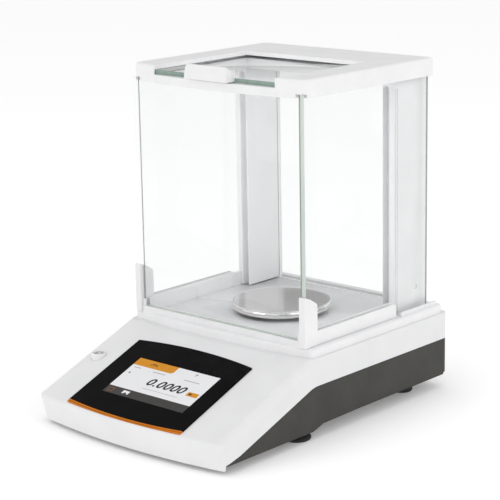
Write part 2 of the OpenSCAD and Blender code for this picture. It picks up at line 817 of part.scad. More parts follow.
// Flat cable from the main board up to the display board
module ribbon_cable() {
    y0 = board_y0 + 1;
    y1 = slope_mid + 8;
    z0 = board_z + 3.4;
    z1 = slope_mid_z - 11;
    t = 0.6;
    color("#c9cdd2") side_prism([
        [y0, z0], [y0 - 8, z0], [y1 + 14, z1 - 6], [y1, z1 - 6], [y1, z1 + 5.3], [y1 + t, z1 + 5.3],
        [y1 + t, z1 - 6 + t], [y1 + 14.4, z1 - 6 + t], [y0 - 7.6, z0 + t], [y0, z0 + t]
    ], ribbon_x, ribbon_x + ribbon_w);
}

// Flat cable from the weigh cell to the main board
module cell_cable() {
    z = cell_z + cell_base_t;
    y = tower_y + 2;
    color("#c9cdd2") translate([0, y + 8, 0]) rotate([90, 0, 0]) linear_extrude(8) polygon([
        [-20, z], [-34.5, z], [-38, board_z + 6], [board_x1 - 1, board_z + 6],
        [board_x1 - 1, board_z + 1.6], [board_x1 - 1.6, board_z + 1.6],
        [board_x1 - 1.6, board_z + 6.6], [-37.6, board_z + 6.6], [-34, z + 0.6], [-20, z + 0.6]
    ]);
}

module jack_place() {
    translate([-half_w + 34, rear_y, tray_z + 16]) children();
}

module usb_place() {
    translate([-half_w + 62, rear_y, tray_z + 16]) children();
}

module power_jack() {
    color("#222222") jack_place() difference() {
        union() {
            rotate([90, 0, 0]) cylinder(r = 5, h = 12);
            span([-5.5, -18, -5.5], [5.5, -3, 5.5]);
        }
        difference() {
            rotate([90, 0, 0]) cylinder(r = 3.15, h = 20, center = true);
            rotate([90, 0, 0]) cylinder(r = 1, h = 12);
        }
    }
}

module usb_port() {
    color("#b4b7bb") usb_place() difference() {
        span([-6, -17, -5.5], [6, -0.4, 5.5]);
        difference() {
            span([-4.2, -10, -3.9], [4.2, 1, 3.9]);
            span([-2.8, -11, -1.5], [2.8, -1.5, 1.5]);
        }
    }
}

// ---- feet, underside and fasteners --------------------------------------

module foot_disc(s) {
    at_side(s) color("#1d1d1d") translate([foot_x, foot_y, 0]) difference() {
        rotate_extrude() polygon([[0, 0], [foot_d / 2 - 1, 0], [foot_d / 2, 1],
            [foot_d / 2, 2.4], [foot_d / 2 - 1.6, disc_h], [0, disc_h]]);
        // seat of the screw's ball end
        translate([0, 0, 1.6]) cylinder(r = stud_d / 2 + fit, h = 5);
    }
}

module foot_screw(s) {
    at_side(s) color("#262626") translate([foot_x, foot_y, 0]) {
        translate([0, 0, 1.6 + gap]) cylinder(d = stud_d, h = 26);
        difference() {
            translate([0, 0, disc_h + gap]) cylinder(r = drum_r, h = drum_top - disc_h - gap);
            // finger grips round the drum
            for (a = [0:20:340]) rotate([0, 0, a]) translate([drum_r + 0.5, 0, 0])
                cylinder(r = 1.1, h = 40, $fn = 16);
        }
    }
}

module left_foot_disc() foot_disc(-1);
module right_foot_disc() foot_disc(1);
module left_foot_screw() foot_screw(-1);
module right_foot_screw() foot_screw(1);

module rear_feet() {
    color("#1d1d1d") both_sides() translate([half_w - 25, rear_y - 38, 0])
        rotate_extrude() polygon([[0, 0], [9, 0], [10, 1], [10.6, tray_z], [0, tray_z]]);
}

module port_cover() {
    color("#55544f") difference() {
        translate([0, pan_y, tray_z - gap - 1.6]) union() {
            cylinder(r = 11.5, h = 1.6);
            translate([cover_pivot_x, 0, 0]) cylinder(r = 5, h = 1.6);
            linear_extrude(1.6) polygon([[0, -11.5], [cover_pivot_x, -5],
                [cover_pivot_x, 5], [0, 11.5]]);
        }
        translate([cover_pivot_x, pan_y, 0]) cylinder(r = screw_r + fit, h = 40);
    }
}

// Screw with a pan head, pointing up
module screw(length, head_r = 2.8, head_h = 2) {
    translate([0, 0, -head_h]) difference() {
        cylinder(r = head_r, h = head_h);
        for (a = [0, 90]) rotate([0, 0, a]) cube([0.8, 3.2, 1.6], center = true);
    }
    translate([0, 0, -0.1]) cylinder(r = screw_r, h = length + 0.1);
}

module cover_screw() {
    color("#8d8f92") translate([cover_pivot_x, pan_y, tray_z - 2 * gap - 1.6])
        screw(wall + 2.4 + 1.6, 3.4, 1.6);
}

module case_screws() {
    color("#8d8f92") both_sides() for (p = case_points)
        translate([p[0], p[1], tray_under(p[1]) + 1.2]) screw(9);
}

module shield_screws() {
    color("#8d8f92") {
        shield_screw_places() translate([0, 0, -wall]) screw(wall + plinth_h - 4);
        column_screw_places() translate([0, 0, -wall]) screw(wall + plinth_h + 12);
    }
}

// Places of the screws that hold the weigh cell to the tray
module cell_screw_places() {
    both_sides() for (y = [pan_y - 14, coil_y + 18]) translate([29, y, 0]) children();
}

module cell_screws() {
    color("#8d8f92") cell_screw_places() translate([0, 0, tray_z]) screw(7);
}

// Sheet cover that screens the weigh cell from draughts and dust
module cell_cover() {
    top = block_top + 5;
    color("#c9ccd0") difference() {
        span([-37, pan_y - 23, cell_z], [37, coil_y + 27, top]);
        span([-36, pan_y - 22, cell_z - 1], [36, coil_y + 26, top - 1]);
        translate([0, pan_y, 0]) cylinder(r = port_r, h = 200);
        // mouth for the flat cable
        span([-40, tower_y, cell_z - 1], [-30, tower_y + 12, board_z + 8]);
    }
}

upper_housing();
base_tray();
accent_strip();
display_glass();
display_module();
display_board();
level_bezel();
level_vial();
base_frame();
chamber_floor();
front_glass();
rear_glass();
left_column();
right_column();
roof_frame();
left_door_glass();
left_door_runner();
right_door_glass();
right_door_runner();
top_door_glass();
top_door_handle();
weighing_pan();
pan_support();
load_receptor();
coupling_strap();
cell_frame();
pivot_flexure();
upper_guide();
lower_guide();
lever_beam();
coil();
magnet_pot();
magnet_core();
position_sensor();
main_board();
board_components();
ribbon_cable();
cell_cable();
power_jack();
usb_port();
left_foot_disc();
left_foot_screw();
right_foot_disc();
right_foot_screw();
rear_feet();
port_cover();
cover_screw();
case_screws();
shield_screws();
cell_screws();
cell_cover();
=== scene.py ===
"""Looks of an analytical balance: bevelled shells, glass panes, pan, display, level and studio."""
import json
import math

import bmesh
import bpy
from bpy.props import FloatProperty, FloatVectorProperty, PointerProperty, StringProperty
from mathutils import Matrix, Vector


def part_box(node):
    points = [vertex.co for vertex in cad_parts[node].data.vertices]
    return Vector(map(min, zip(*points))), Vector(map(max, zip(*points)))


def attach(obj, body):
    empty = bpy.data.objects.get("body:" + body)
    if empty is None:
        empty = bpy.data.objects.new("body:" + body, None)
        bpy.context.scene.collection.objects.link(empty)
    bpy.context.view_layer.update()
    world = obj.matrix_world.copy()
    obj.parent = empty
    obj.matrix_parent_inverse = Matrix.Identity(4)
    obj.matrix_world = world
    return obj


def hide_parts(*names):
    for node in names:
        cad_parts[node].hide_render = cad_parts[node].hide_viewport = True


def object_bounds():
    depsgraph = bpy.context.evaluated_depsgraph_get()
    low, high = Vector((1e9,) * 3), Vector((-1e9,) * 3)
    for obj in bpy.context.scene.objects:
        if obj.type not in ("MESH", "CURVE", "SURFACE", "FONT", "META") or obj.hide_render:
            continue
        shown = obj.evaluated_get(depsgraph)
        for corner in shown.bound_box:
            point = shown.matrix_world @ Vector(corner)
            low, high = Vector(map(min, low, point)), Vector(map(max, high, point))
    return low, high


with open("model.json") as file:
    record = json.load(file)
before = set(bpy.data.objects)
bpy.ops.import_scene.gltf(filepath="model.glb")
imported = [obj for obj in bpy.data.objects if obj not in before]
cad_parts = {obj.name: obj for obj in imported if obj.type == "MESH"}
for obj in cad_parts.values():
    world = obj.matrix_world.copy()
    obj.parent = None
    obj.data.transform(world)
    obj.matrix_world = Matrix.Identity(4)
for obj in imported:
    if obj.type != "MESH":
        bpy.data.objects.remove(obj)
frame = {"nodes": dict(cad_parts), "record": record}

bl_info = {
    "name": "Analytical balance",
    "version": (1, 0, 0),
    "blender": (4, 5, 0),
    "location": "View3D > Sidebar > Balance",
    "description": "Finishes an analytical balance and its studio",
    "category": "Add Mesh",
}

MM = 0.001
CAD_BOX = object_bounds()
GRAIN_HEIGHT = 0.02 * MM    # height that every bump's pattern is scaled to
SKIRT_R = 5.2    # barrel of the pan's skirt, in mm
GROOVE_DEPTH = 0.3 * MM    # a face of the strip lower than this is the groove's floor, which takes the painted shade


# ---- shader helpers ---------------------------------------------------------

def linear(code):
    """Linear RGBA of an sRGB hex value."""
    parts = [int(code[i:i + 2], 16) / 255 for i in (0, 2, 4)]
    curve = [c / 12.92 if c <= 0.04045 else ((c + 0.055) / 1.055) ** 2.4 for c in parts]
    return (*curve, 1.0)


def add(tree, kind, values=None, links=None, **settings):
    """Adds a node with its settings, input values and links, and returns it."""
    node = tree.nodes.new(kind)
    for key, value in settings.items():
        setattr(node, key, value)
    for key, value in (values or {}).items():
        node.inputs[key].default_value = value
    for key, socket in (links or {}).items():
        tree.links.new(socket, node.inputs[key])
    return node


def blank(name):
    """An empty node material with its output and object coordinates."""
    material = bpy.data.materials.get(name)
    if material:
        return material, None, None, None
    material = bpy.data.materials.new(name)
    material.use_nodes = True
    tree = material.node_tree
    tree.nodes.clear()
    output = add(tree, "ShaderNodeOutputMaterial")
    place = add(tree, "ShaderNodeTexCoord").outputs["Object"]
    return material, tree, output, place


def stretched(tree, place, scale):
    """Object coordinates stretched along an axis, for grain and brushing."""
    return add(tree, "ShaderNodeMapping", {"Scale": scale}, {"Vector": place}).outputs["Vector"]


def noise(tree, place, size_mm, detail=3.0, rough=0.5):
    """Noise whose features are size_mm across."""
    return add(tree, "ShaderNodeTexNoise",
               {"Scale": 1 / (size_mm * MM), "Detail": detail, "Roughness": rough},
               {"Vector": place}).outputs["Fac"]


def spread(tree, factor, low, high):
    """Maps a 0 to 1 factor to a range."""
    return add(tree, "ShaderNodeMapRange", {"To Min": low, "To Max": high},
               {"Value": factor}).outputs["Result"]


def two_tone(tree, factor, low, high):
    """Colour between two hex values, by a factor."""
    ramp = add(tree, "ShaderNodeValToRGB", links={"Fac": factor})
    ramp.color_ramp.elements[0].color = linear(low)
    ramp.color_ramp.elements[1].color = linear(high)
    ramp.color_ramp.elements[0].position = 0.3
    ramp.color_ramp.elements[1].position = 0.7
    return ramp.outputs["Color"]


# ---- materials --------------------------------------------------------------

def moulded(name, low, high, rough, grain_mm, depth, patch_mm=28, coat=0.0, gloss=0.5):
    """Injection-moulded plastic: even colour with a faint flow mottle, over an etched grain."""
    material, tree, output, place = blank(name)
    if tree is None:
        return material
    colour = two_tone(tree, noise(tree, place, patch_mm, 2.0), low, high)
    grain = noise(tree, place, grain_mm, 4.0, 0.6)
    bump = add(tree, "ShaderNodeBump", {"Strength": depth, "Distance": GRAIN_HEIGHT},
               {"Height": grain})
    body = add(tree, "ShaderNodeBsdfPrincipled", {"IOR": 1.5, "Coat Weight": coat,
                                                   "Specular IOR Level": gloss}, {
        "Base Color": colour, "Roughness": spread(tree, grain, rough - 0.06, rough + 0.06),
        "Normal": bump.outputs["Normal"]})
    tree.links.new(body.outputs["BSDF"], output.inputs["Surface"])
    return material


def metal(name, low, high, rough, grain_mm, stretch=(1, 1, 1), depth=0.3, aniso=0.0):
    """Bare metal: its tool marks run along the axis that the pattern is stretched on."""
    material, tree, output, place = blank(name)
    if tree is None:
        return material
    marks = noise(tree, stretched(tree, place, stretch), grain_mm, 5.0, 0.65)
    colour = two_tone(tree, marks, low, high)
    bump = add(tree, "ShaderNodeBump", {"Strength": depth, "Distance": GRAIN_HEIGHT},
               {"Height": marks})
    body = add(tree, "ShaderNodeBsdfPrincipled", {"Metallic": 1.0, "Anisotropic": aniso}, {
        "Base Color": colour, "Roughness": spread(tree, marks, rough * 0.75, rough * 1.25),
        "Normal": bump.outputs["Normal"]})
    tree.links.new(body.outputs["BSDF"], output.inputs["Surface"])
    return material


def white_abs():
    # Warm-neutral white with a satin spark-eroded grain, so highlights stay broad and soft.
    return moulded("white_abs_moulded", "e3e3e4", "e7e7e8", 0.42, 0.9, 0.25, gloss=0.4)


def frame_abs():
    # The shield's mouldings are the same white, a shade brighter and smoother.
    return moulded("white_abs_satin", "e9e9ea", "eeeeef", 0.34, 0.9, 0.15, gloss=0.4)


def grey_abs():
    # Dark warm grey with a coarser etch, which keeps the lower half matt.
    return moulded("dark_abs_textured", "383734", "403f3b", 0.55, 0.8, 0.6, gloss=0.3)


def floor_plastic():
    # Cool light grey floor plate, smooth enough to show soft reflections of the pan.
    return moulded("grey_floor_plate", "dcdcde", "e3e3e5", 0.2, 1.2, 0.06, gloss=0.35)


def orange_strip():
    # Dyed plastic: a saturated orange under a weak, broad shine.
    return moulded("dyed_strip_glossy", "cc7414", "d47c1c", 0.4, 2.0, 0.05, 12, gloss=0.08)


def strip_shadow():
    # Painted shade: the floor of the groove that splits the strip in two is coloured dark for the
    # shade that falls in it.
    return moulded("strip_groove_painted_shade", "5e2c06", "6b350a", 0.6, 2.0, 0.05, 12, gloss=0.05)


def black_rubber():
    return moulded("black_rubber_moulded", "161616", "222222", 0.72, 0.7, 0.7)


def black_plastic():
    return moulded("black_nylon_moulded", "1a1a1a", "262626", 0.45, 0.7, 0.4)


def circuit_board():
    return moulded("green_solder_mask", "1d5a2f", "2a7040", 0.3, 1.4, 0.2, 4)


def flat_cable():
    return moulded("grey_flat_cable", "b9bdc2", "cfd3d8", 0.5, 0.6, 0.3)


def pan_brushed():
    # Lapped stainless top: fine straight lines, drawn 0.5 mm apart so that they show.
    return metal("stainless_steel_brushed", "dad8d8", "e6e4e4", 0.15, 0.5, (0.03, 1, 1), 0.3, 0.5)


def pan_polished():
    # Rolled rim, buffed bright, which mirrors the floor as bands.
    return metal("stainless_steel_polished", "e2e1e1", "ebeaea", 0.05, 3.0, (1, 1, 1), 0.03)


def milled_aluminium():
    return metal("aluminium_milled", "b8bbbf", "c9ccd0", 0.34, 0.6, (0.05, 1, 1), 0.4)


def sheet_aluminium():
    return metal("aluminium_sheet", "c4c7ca", "d3d6d9", 0.3, 0.8, (0.04, 1, 1), 0.2)


def zinc_steel():
    return metal("steel_zinc_plated", "9a9da0", "b0b3b6", 0.32, 0.8)


def turned_iron():
    return metal("iron_turned", "75787c", "8a8d91", 0.38, 0.5, (1, 1, 0.05), 0.4)


def bronze_strip():
    return metal("bronze_rolled", "c9a766", "dcbc7c", 0.3, 0.7, (0.05, 1, 1), 0.2)


def copper_winding():
    # Enamelled wire in even turns, drawn 0.6 mm apart.
    return metal("copper_wire_wound", "a8622f", "c27c43", 0.35, 0.6, (0.02, 0.02, 1), 0.8)


def glass_face():
    """Polished float glass: clear face on, brighter where it is seen aslant."""
    material, tree, output, place = blank("float_glass_polished")
    if tree is None:
        return material
    # a trace of waviness, about 60 mm across, as float glass has
    wave = add(tree, "ShaderNodeBump", {"Strength": 0.04, "Distance": GRAIN_HEIGHT},
               {"Height": noise(tree, place, 60, 1.0)})
    front = add(tree, "ShaderNodeMath", {0: 1.0}, {1: add(tree, "ShaderNodeNewGeometry").outputs[
        "Backfacing"]}, operation="SUBTRACT")
    fresnel = add(tree, "ShaderNodeFresnel", {"IOR": 1.52}, {"Normal": wave.outputs["Normal"]})
    share = add(tree, "ShaderNodeMath", links={0: fresnel.outputs["Fac"], 1: front.outputs[0]},
                operation="MULTIPLY")
    clear = add(tree, "ShaderNodeBsdfTransparent", {"Color": (0.993, 0.996, 0.995, 1)})
    gloss = add(tree, "ShaderNodeBsdfGlossy", {"Roughness": 0.0},
                {"Normal": wave.outputs["Normal"]})
    mix = add(tree, "ShaderNodeMixShader", links={
        0: share.outputs[0], 1: clear.outputs[0], 2: gloss.outputs[0]})
    tree.links.new(mix.outputs[0], output.inputs["Surface"])
    return material


def ground_edge(name, low, high):
    """Ground edge of float glass: the longer the way through the pane, the greener."""
    material, tree, output, place = blank(name)
    if tree is None:
        return material
    tone = two_tone(tree, noise(tree, stretched(tree, place, (1, 1, 0.15)), 9, 2.0), low, high)
    body = add(tree, "ShaderNodeBsdfPrincipled",
               {"Roughness": 0.22, "IOR": 1.52, "Specular IOR Level": 0.3}, {"Base Color": tone})
    tree.links.new(body.outputs["BSDF"], output.inputs["Surface"])
    return material


def edge_deep():
    # The top pane is seen through its whole length, so its edge is the darkest.
    return ground_edge("float_glass_edge_deep", "7f948a", "93a79d")


def edge_pale():
    # A short way through the pane leaves only a breath of green.
    return ground_edge("float_glass_edge_pale", "c6d0c8", "d2dad3")


def edge_grey():
    # Edge that is seen through the pane itself, which narrows and greys it.
    return ground_edge("float_glass_edge_grey", "9a9f9d", "a6aaa8")


def black_glass():
    # Cover glass printed black on its back: deep black under one clear, sharp reflection.
    return moulded("cover_glass_back_printed", "0b0a0b", "100f11", 0.12, 2.5, 0.02, 20, gloss=0.02)


def lit(name, code, glow=0.08):
    """A patch of the lit screen: its colour shines a little by itself."""
    material, tree, output, place = blank(name)
    if tree is None:
        return material
    # the backlight is a little uneven, in patches of about 1.5 mm
    dim = "".join("%02x" % max(0, int(code[i:i + 2], 16) - 3) for i in (0, 2, 4))
    tone = two_tone(tree, noise(tree, place, 1.5, 1.0), dim, code)
    body = add(tree, "ShaderNodeBsdfPrincipled",
               {"Roughness": 0.4, "Specular IOR Level": 0.1, "Emission Strength": glow,
                "Emission Color": linear(code)},
               {"Base Color": tone})
    tree.links.new(body.outputs["BSDF"], output.inputs["Surface"])
    return material


def vial_glass():
    """Blown vial: partly clear, its liquid a shade off white."""
    material, tree, output, place = blank("vial_glass_filled")
    if tree is None:
        return material
    tone = two_tone(tree, noise(tree, place, 3, 1.0), "d6d8d0", "e0e2da")
    body = add(tree, "ShaderNodeBsdfPrincipled",
               {"Roughness": 0.06, "IOR": 1.47, "Transmission Weight": 0.4}, {"Base Color": tone})
    tree.links.new(body.outputs["BSDF"], output.inputs["Surface"])
    return material


def bubble_air():
    # The air bubble shows as a bright, sharp-edged spot.
    return moulded("vial_bubble", "eef0f0", "f4f6f6", 0.1, 1.0, 0.0, 4)


FINISHES = {
    white_abs: ["upper_housing", "level_bezel"],
    frame_abs: ["base_frame", "roof_frame", "left_column", "right_column", "left_door_runner",
                "right_door_runner", "top_door_handle"],
    grey_abs: ["base_tray", "port_cover"],
    floor_plastic: ["chamber_floor"],
    orange_strip: ["accent_strip"],
    black_glass: ["display_glass"],
    circuit_board: ["display_board", "position_sensor", "main_board"],
    black_plastic: ["pan_support", "board_components", "power_jack", "left_foot_screw",
                    "right_foot_screw"],
    black_rubber: ["left_foot_disc", "right_foot_disc", "rear_feet"],
    milled_aluminium: ["load_receptor", "cell_frame", "upper_guide", "lower_guide", "lever_beam"],
    sheet_aluminium: ["cell_cover", "display_module", "usb_port"],
    bronze_strip: ["coupling_strap", "pivot_flexure"],
    copper_winding: ["coil"],
    turned_iron: ["magnet_pot", "magnet_core"],
    flat_cable: ["ribbon_cable", "cell_cable"],
    zinc_steel: ["cover_screw", "case_screws", "shield_screws", "cell_screws"],
    pan_brushed: ["weighing_pan"],
    vial_glass: ["level_vial"],
    glass_face: ["front_glass", "rear_glass", "left_door_glass", "right_door_glass",
                 "top_door_glass"],
}
PANES = FINISHES[glass_face]
# Ends of the panes that show: axis, side, finish and how much of the thickness shows it,
# from the outer face. Ends that are not listed stay clear. The rear pane's ends take the
# white finish of the columns they meet.
SHOWN_ENDS = {
    "front_glass": [(0, -1, edge_grey, 0.4), (0, 1, edge_grey, 0.4), (2, -1, edge_pale, 1.0)],
    "rear_glass": [(0, -1, frame_abs, 1.0), (0, 1, frame_abs, 1.0)],
    "left_door_glass": [(1, 1, edge_grey, 0.5)],
    "right_door_glass": [(1, -1, edge_pale, 1.0), (1, 1, edge_grey, 0.5)],
    "top_door_glass": [(1, -1, edge_deep, 1.0)],
}
SOFTENED = {"left_column": 0.5, "right_column": 0.5, "left_door_runner": 0.5,
            "right_door_runner": 0.5, "top_door_handle": 0.6, "port_cover": 0.3,
            "chamber_floor": 0.15}


# ---- mesh helpers -----------------------------------------------------------

def body_of(node):
    """Name of the CAD body that a node belongs to."""
    groups = frame["record"]["behaviour"]["bodies"]
    return next(name for name, members in groups.items() if node in members)


def piece(name, bm, materials, node, replaces=()):
    """Makes a mesh object with the given materials, which rides on a node's body."""
    mesh = bpy.data.meshes.new(name)
    bm.normal_update()
    bm.to_mesh(mesh)
    bm.free()
    obj = bpy.data.objects.new(name, mesh)
    bpy.context.scene.collection.objects.link(obj)
    for material in materials:
        mesh.materials.append(material)
    for polygon in mesh.polygons:
        polygon.use_smooth = True
    mesh.set_sharp_from_angle(angle=math.radians(32))
    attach(obj, body_of(node))
    if replaces:
        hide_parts(*replaces)
    return obj


def bevel(bm, edges, width, segments=3):
    """Rounds edges by a width."""
    bmesh.ops.bevel(bm, geom=edges, offset=width, offset_type="OFFSET", affect="EDGES",
                    segments=segments, profile=0.5, material=-1, clamp_overlap=True)


def sharp_edges(bm, degrees=30):
    """Edges whose two faces meet at more than an angle."""
    return [e for e in bm.edges if e.is_manifold and e.calc_face_angle(0) > math.radians(degrees)]


def merged(node):
    """A merged copy of a CAD node, with its flat faces whole again."""
    bm = bmesh.new()
    bm.from_mesh(frame["nodes"][node].data)
    bmesh.ops.remove_doubles(bm, verts=bm.verts, dist=0.001 * MM)
    bmesh.ops.dissolve_limit(bm, angle_limit=math.radians(0.5), verts=bm.verts, edges=bm.edges)
    return bm


def block(low, high):
    """A box from its lowest to its highest corner."""
    bm = bmesh.new()
    bmesh.ops.create_cube(bm, size=1.0)
    bmesh.ops.scale(bm, vec=high - low, verts=bm.verts)
    bmesh.ops.translate(bm, vec=(low + high) / 2, verts=bm.verts)
    return bm


def turned(profile, centre, steps=96):
    """Spins a closed profile of (radius, height) points, both in mm, about an upright axis."""
    bm = bmesh.new()
    verts = [bm.verts.new((r * MM, 0, z * MM)) for r, z in profile]
    edges = [bm.edges.new(pair) for pair in zip(verts, verts[1:])]
    bmesh.ops.spin(bm, geom=verts + edges, axis=(0, 0, 1), cent=(0, 0, 0), dvec=(0, 0, 0),
                   angle=math.tau, steps=steps, use_merge=True, use_duplicate=False)
    bmesh.ops.remove_doubles(bm, verts=bm.verts, dist=0.002 * MM)
    bmesh.ops.recalc_face_normals(bm, faces=bm.faces)
    bmesh.ops.translate(bm, vec=centre, verts=bm.verts)
    return bm


def arc(cx, cy, radius, start, end, steps=8):
    """Points of an arc in a profile, from one angle to another in degrees."""
    angles = [math.radians(start + (end - start) * i / steps) for i in range(steps + 1)]
    return [(cx + radius * math.cos(a), cy + radius * math.sin(a)) for a in angles]


# ---- settings ---------------------------------------------------------------

class BalanceSizes(bpy.types.PropertyGroup):
    """Sizes of the pieces that are modelled here."""
    arris: FloatProperty(name="Glass arris", description="Ground edge of each pane", default=0.0004,
                         unit="LENGTH")
    lip: FloatProperty(name="Front lip", description="How deep the front pane sits in its lip",
                       default=0.0064, unit="LENGTH")
    rim: FloatProperty(name="Pan rim", description="Radius of the pan's rolled rim", default=0.0018,
                       unit="LENGTH")
    print_depth: FloatProperty(name="Screen layer", description="Depth of one layer of the screen",
                               default=0.00006, unit="LENGTH")
    digit_height: FloatProperty(name="Digit height", description="Height of the reading's digits",
                                default=0.0096, unit="LENGTH")
    digit_width: FloatProperty(name="Reading width", description="Width of the whole reading",
                               default=0.0435, unit="LENGTH")


class BalanceColours(bpy.types.PropertyGroup):
    """Colours of the lit screen, as sRGB hex values, and of the studio."""
    screen: StringProperty(name="Screen", description="Background of the screen", default="e2e2e4")
    tab: StringProperty(name="Tab", description="Active tab and unit key", default="d08b20")
    bar: StringProperty(name="Bar", description="Tool bar of the screen", default="403f3d")
    digits: StringProperty(name="Digits", description="The reading", default="26292b")
    floor: FloatVectorProperty(name="Floor", description="Studio floor", subtype="COLOR", size=3,
                               default=(0.95, 0.95, 0.95), min=0, max=1)


# ---- operators --------------------------------------------------------------

class BALANCE_OT_finishes(bpy.types.Operator):
    """Gives every CAD node its material"""
    bl_idname = "balance.finishes"
    bl_label = "Finishes"

    def execute(self, context):
        for make, nodes in FINISHES.items():
            for node in nodes:
                mesh = frame["nodes"][node].data
                mesh.materials.clear()
                mesh.materials.append(make())
        return {"FINISHED"}


class BALANCE_OT_mouldings(bpy.types.Operator):
    """Rounds the edges of the mouldings that the hand and the eye meet"""
    bl_idname = "balance.mouldings"
    bl_label = "Mouldings"

    def execute(self, context):
        for node, width in SOFTENED.items():
            bm = merged(node)
            bevel(bm, sharp_edges(bm), width * MM)
            make = next(m for m, nodes in FINISHES.items() if node in nodes)
            piece(node + "_moulding", bm, [make()], node, (node,))
        return {"FINISHED"}


class BALANCE_OT_panes(bpy.types.Operator):
    """Cuts the glass panes, with ground arrises and tinted edges"""
    bl_idname = "balance.panes"
    bl_label = "Glass panes"

    def execute(self, context):
        middle = (CAD_BOX[0] + CAD_BOX[1]) / 2
        inner_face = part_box("right_column")[0].x
        for node in PANES:
            low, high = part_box(node)
            # the groove would show dark through the glass, so the pane is drawn from its mouth
            if node == "rear_glass":
                low.x, high.x = -inner_face, inner_face
            if node == "front_glass":
                low.z += context.scene.balance_sizes.lip
            size, centre = high - low, (low + high) / 2
            thin = min(range(3), key=lambda axis: size[axis])
            outer = math.copysign(1, centre[thin] - middle[thin])
            face = high[thin] if outer > 0 else low[thin]
            bm = block(low, high)
            bevel(bm, bm.edges[:], context.scene.balance_sizes.arris, 2)
            finishes = [glass_face()]
            for axis, side, finish, share in SHOWN_ENDS.get(node, []):
                normal, point = Vector(), Vector()
                normal[thin], point[thin] = 1, face - outer * share * size[thin]
                bmesh.ops.bisect_plane(bm, geom=bm.verts[:] + bm.edges[:] + bm.faces[:],
                                       plane_co=point, plane_no=normal, dist=0.001 * MM)
                bm.normal_update()
                finishes.append(finish())
                for part in bm.faces:
                    depth = (face - part.calc_center_median()[thin]) * outer
                    if part.normal[axis] * side > 0.3 and depth <= share * size[thin]:
                        part.material_index = len(finishes) - 1
            piece(node + "_pane", bm, finishes, node, (node,))
        return {"FINISHED"}


class BALANCE_OT_pan(bpy.types.Operator):
    """Spins the weighing pan with its rolled, polished rim"""
    bl_idname = "balance.pan"
    bl_label = "Weighing pan"

    def execute(self, context):
        low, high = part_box("weighing_pan")
        radius = (high.x - low.x) / 2 / MM
        top, bottom = high.z / MM, low.z / MM
        rim = context.scene.balance_sizes.rim / MM
        dish_depth, bead_r = 0.35, 0.5
        dish = top - dish_depth
        # shallow dish, bead, fine groove below it, and a barrel skirt that curls in
        profile = [(0, dish), (radius - rim - 0.6, dish)]
        profile += arc(radius - rim - 0.6, dish + 0.25, 0.25, -90, -20, 3)
        profile += arc(radius - 0.8, top - bead_r, bead_r, 125, -30, 8)
        profile += [(radius - 0.7, top - 0.9), (radius - 0.7, top - 1.15)]
        skirt, lip = (top + bottom) / 2 - 0.35, 25
        profile += arc(radius - SKIRT_R, skirt, SKIRT_R, lip, -lip, 10)
        profile += arc(radius - 1.5, bottom + 0.8, 0.8, -20, -90, 5)
        profile += [(radius - 1.8, bottom + 0.4), (radius - 1.8, top - 3),
                    (radius - 3, top - 1.6), (0, top - 1.6)]
        centre = Vector(((low.x + high.x) / 2, (low.y + high.y) / 2, 0))
        bm = turned(profile, centre, 128)
        edge = (radius - rim - 0.5) * MM
        for face in bm.faces:
            middle = face.calc_center_median() - centre
            face.material_index = 1 if middle.xy.length > edge else 0
        piece("pan_disc", bm, [pan_brushed(), pan_polished()], "weighing_pan", ("weighing_pan",))
        return {"FINISHED"}


class BALANCE_OT_strip(bpy.types.Operator):
    """Colours the accent strip, with painted shade on the floor of the groove that parts its two
    lines
    """
    bl_idname = "balance.strip"
    bl_label = "Accent strip"

    def execute(self, context):
        bm = merged("accent_strip")
        bm.normal_update()
        up = max(bm.faces, key=lambda f: f.calc_area() * max(f.normal.z, 0)).normal.copy()
        top = max(v.co.dot(up) for v in bm.verts)
        # faces on the groove's floor take the painted shade of the recess
        for part in bm.faces:
            sunk = top - part.calc_center_median().dot(up) > GROOVE_DEPTH
            part.material_index = 1 if sunk and part.normal.dot(up) > 0.9 else 0
        piece("strip_lines", bm, [orange_strip(), strip_shadow()], "accent_strip",
              ("accent_strip",))
        return {"FINISHED"}


